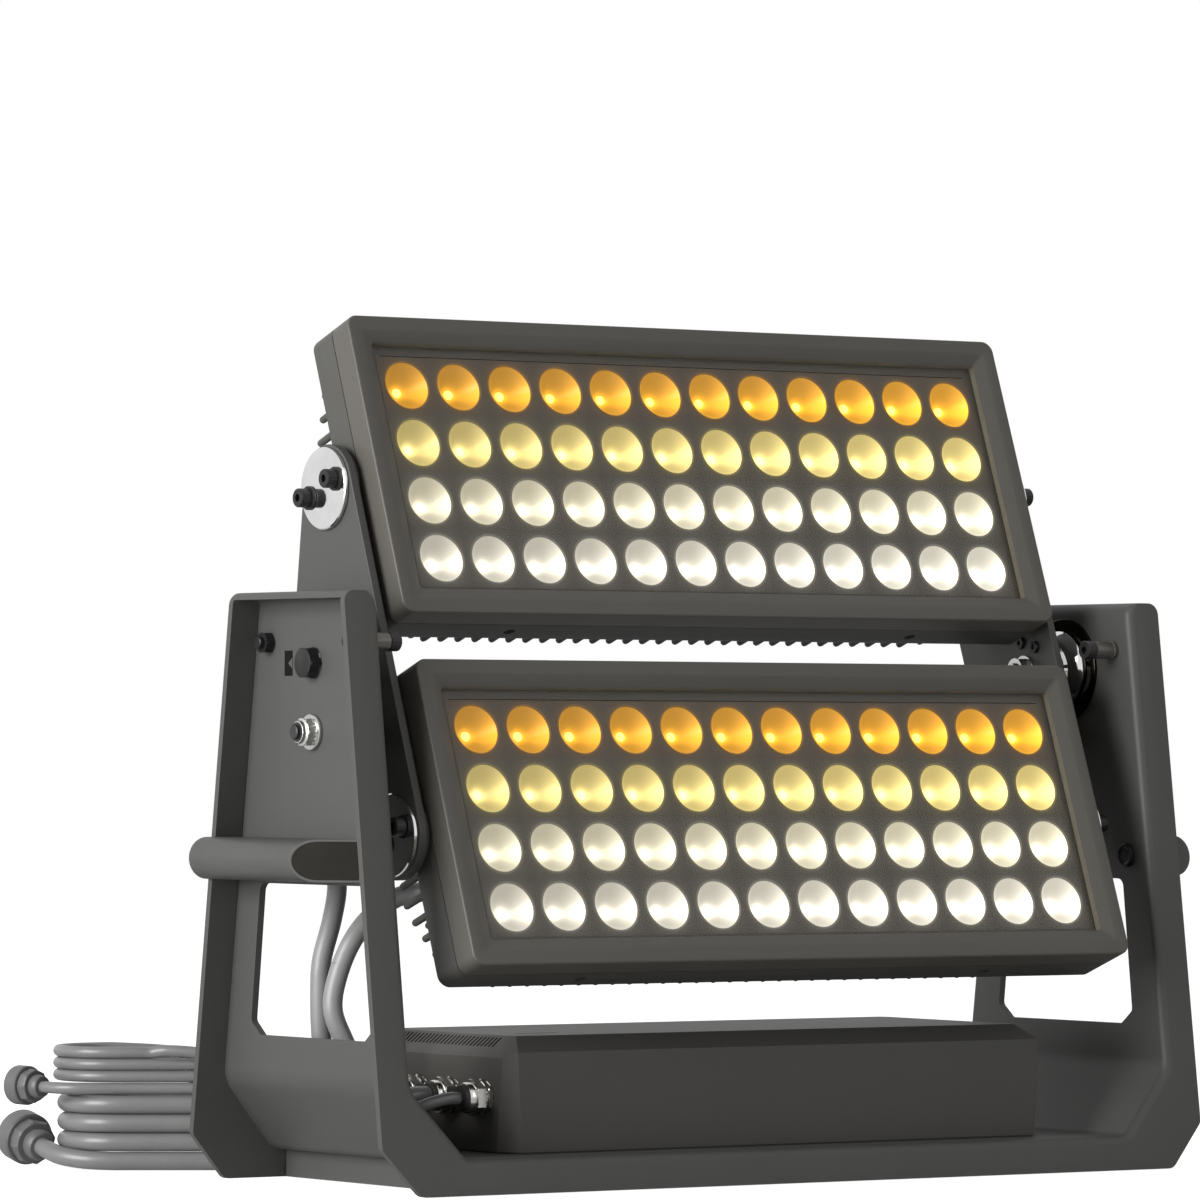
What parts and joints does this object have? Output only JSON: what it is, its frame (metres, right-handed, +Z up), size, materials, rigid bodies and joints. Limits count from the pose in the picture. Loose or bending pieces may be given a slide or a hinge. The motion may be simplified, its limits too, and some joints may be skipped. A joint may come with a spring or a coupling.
{
  "type": "led wash light",
  "caption": "Stage wash light with two tilting lamp heads in a bent steel floor yoke, a driver box on the base and two free cables.",
  "frame": {"origin": "on the floor, under the middle of the yoke's base", "axes": "+X to the right of the lamps as seen from the lit side, -Y the side that the lamps shine to, +Z up"},
  "size_m": [0.742, 0.4663, 0.5872],
  "materials": {
    "grey_powder_coat": "fine textured powder coat",
    "grey_casting": "coated die casting",
    "coated_aluminium": "fine textured powder coat on aluminium",
    "black_oxide_steel": "black oxide",
    "friction_lining": "dull",
    "zinc_steel": "zinc plated",
    "chrome": "polished",
    "nickel_brass": "nickel plated",
    "rubber": "dull",
    "cable_sheath": "smooth sheath",
    "connector_grey": "moulded",
    "bare_aluminium": "bare sheet",
    "circuit_board": "solder mask",
    "reflector": "metallised",
    "cover_glass": "clear, toughened"
  },
  "bodies": {
    "yoke": {"yoke_bracket": "grey_powder_coat", "foot_bar_left": "grey_powder_coat", "foot_bar_right": "grey_powder_coat", "handle_left": "coated_aluminium", "handle_right": "coated_aluminium", "driver_cover": "coated_aluminium", "handle_bolt_left_a": "black_oxide_steel", "handle_bolt_left_b": "black_oxide_steel", "handle_bolt_right_a": "black_oxide_steel", "handle_bolt_right_b": "black_oxide_steel", "pivot_bolt_left": "black_oxide_steel", "pivot_bolt_right": "black_oxide_steel", "stop_bolt_left_front": "black_oxide_steel", "stop_bolt_left_rear": "black_oxide_steel", "stop_bolt_right_front": "black_oxide_steel", "stop_bolt_right_rear": "black_oxide_steel", "lock_bolt_left": "zinc_steel", "lock_bolt_right": "zinc_steel", "friction_disc_left": "friction_lining", "friction_disc_right": "friction_lining", "data_gland": "nickel_brass", "power_gland": "nickel_brass", "lower_lead_gland": "nickel_brass", "upper_lead_gland": "nickel_brass", "driver_gasket": "rubber", "power_cord": "cable_sheath", "power_hank": "cable_sheath", "power_cord_end": "cable_sheath", "data_cord": "cable_sheath", "data_hank": "cable_sheath", "data_cord_end": "cable_sheath", "upper_head_lead": "cable_sheath", "lower_head_lead": "cable_sheath", "power_connector": "connector_grey", "data_connector": "connector_grey", "driver_tray": "bare_aluminium", "power_supply": "bare_aluminium", "control_board": "circuit_board"},
    "upper_head": {"upper_bezel": "coated_aluminium", "upper_glass": "cover_glass", "upper_lens_plate": "reflector", "upper_led_board": "circuit_board", "upper_heatsink": "grey_casting", "upper_gland": "nickel_brass", "upper_pivot_disc_left": "chrome", "upper_pivot_disc_right": "chrome"},
    "lower_head": {"lower_bezel": "coated_aluminium", "lower_glass": "cover_glass", "lower_lens_plate": "reflector", "lower_led_board": "circuit_board", "lower_heatsink": "grey_casting", "lower_gland": "nickel_brass", "lower_pivot_disc_left": "chrome", "lower_pivot_disc_right": "chrome"},
    "arms": {"arm_left": "grey_powder_coat", "arm_right": "grey_powder_coat", "pivot_hub_left": "chrome", "pivot_hub_right": "chrome"}
  },
  "joints": [
    {"name": "arms_tilt", "type": "hinge", "parent": "yoke", "child": "arms", "pos_m": [0, 0, 0.351], "axis": [1, 0, 0], "range_deg": [-25, 35]},
    {"name": "upper_tilt", "type": "hinge", "parent": "arms", "child": "upper_head", "pos_m": [0, 0.03877, 0.46952], "axis": [1, 0, 0], "range_deg": [-45, 45], "deforming": ["upper_head_lead"]},
    {"name": "lower_tilt", "type": "hinge", "parent": "arms", "child": "lower_head", "pos_m": [0, -0.04814, 0.23597], "axis": [1, 0, 0], "range_deg": [-45, 45], "deforming": ["lower_head_lead"]}
  ]
}
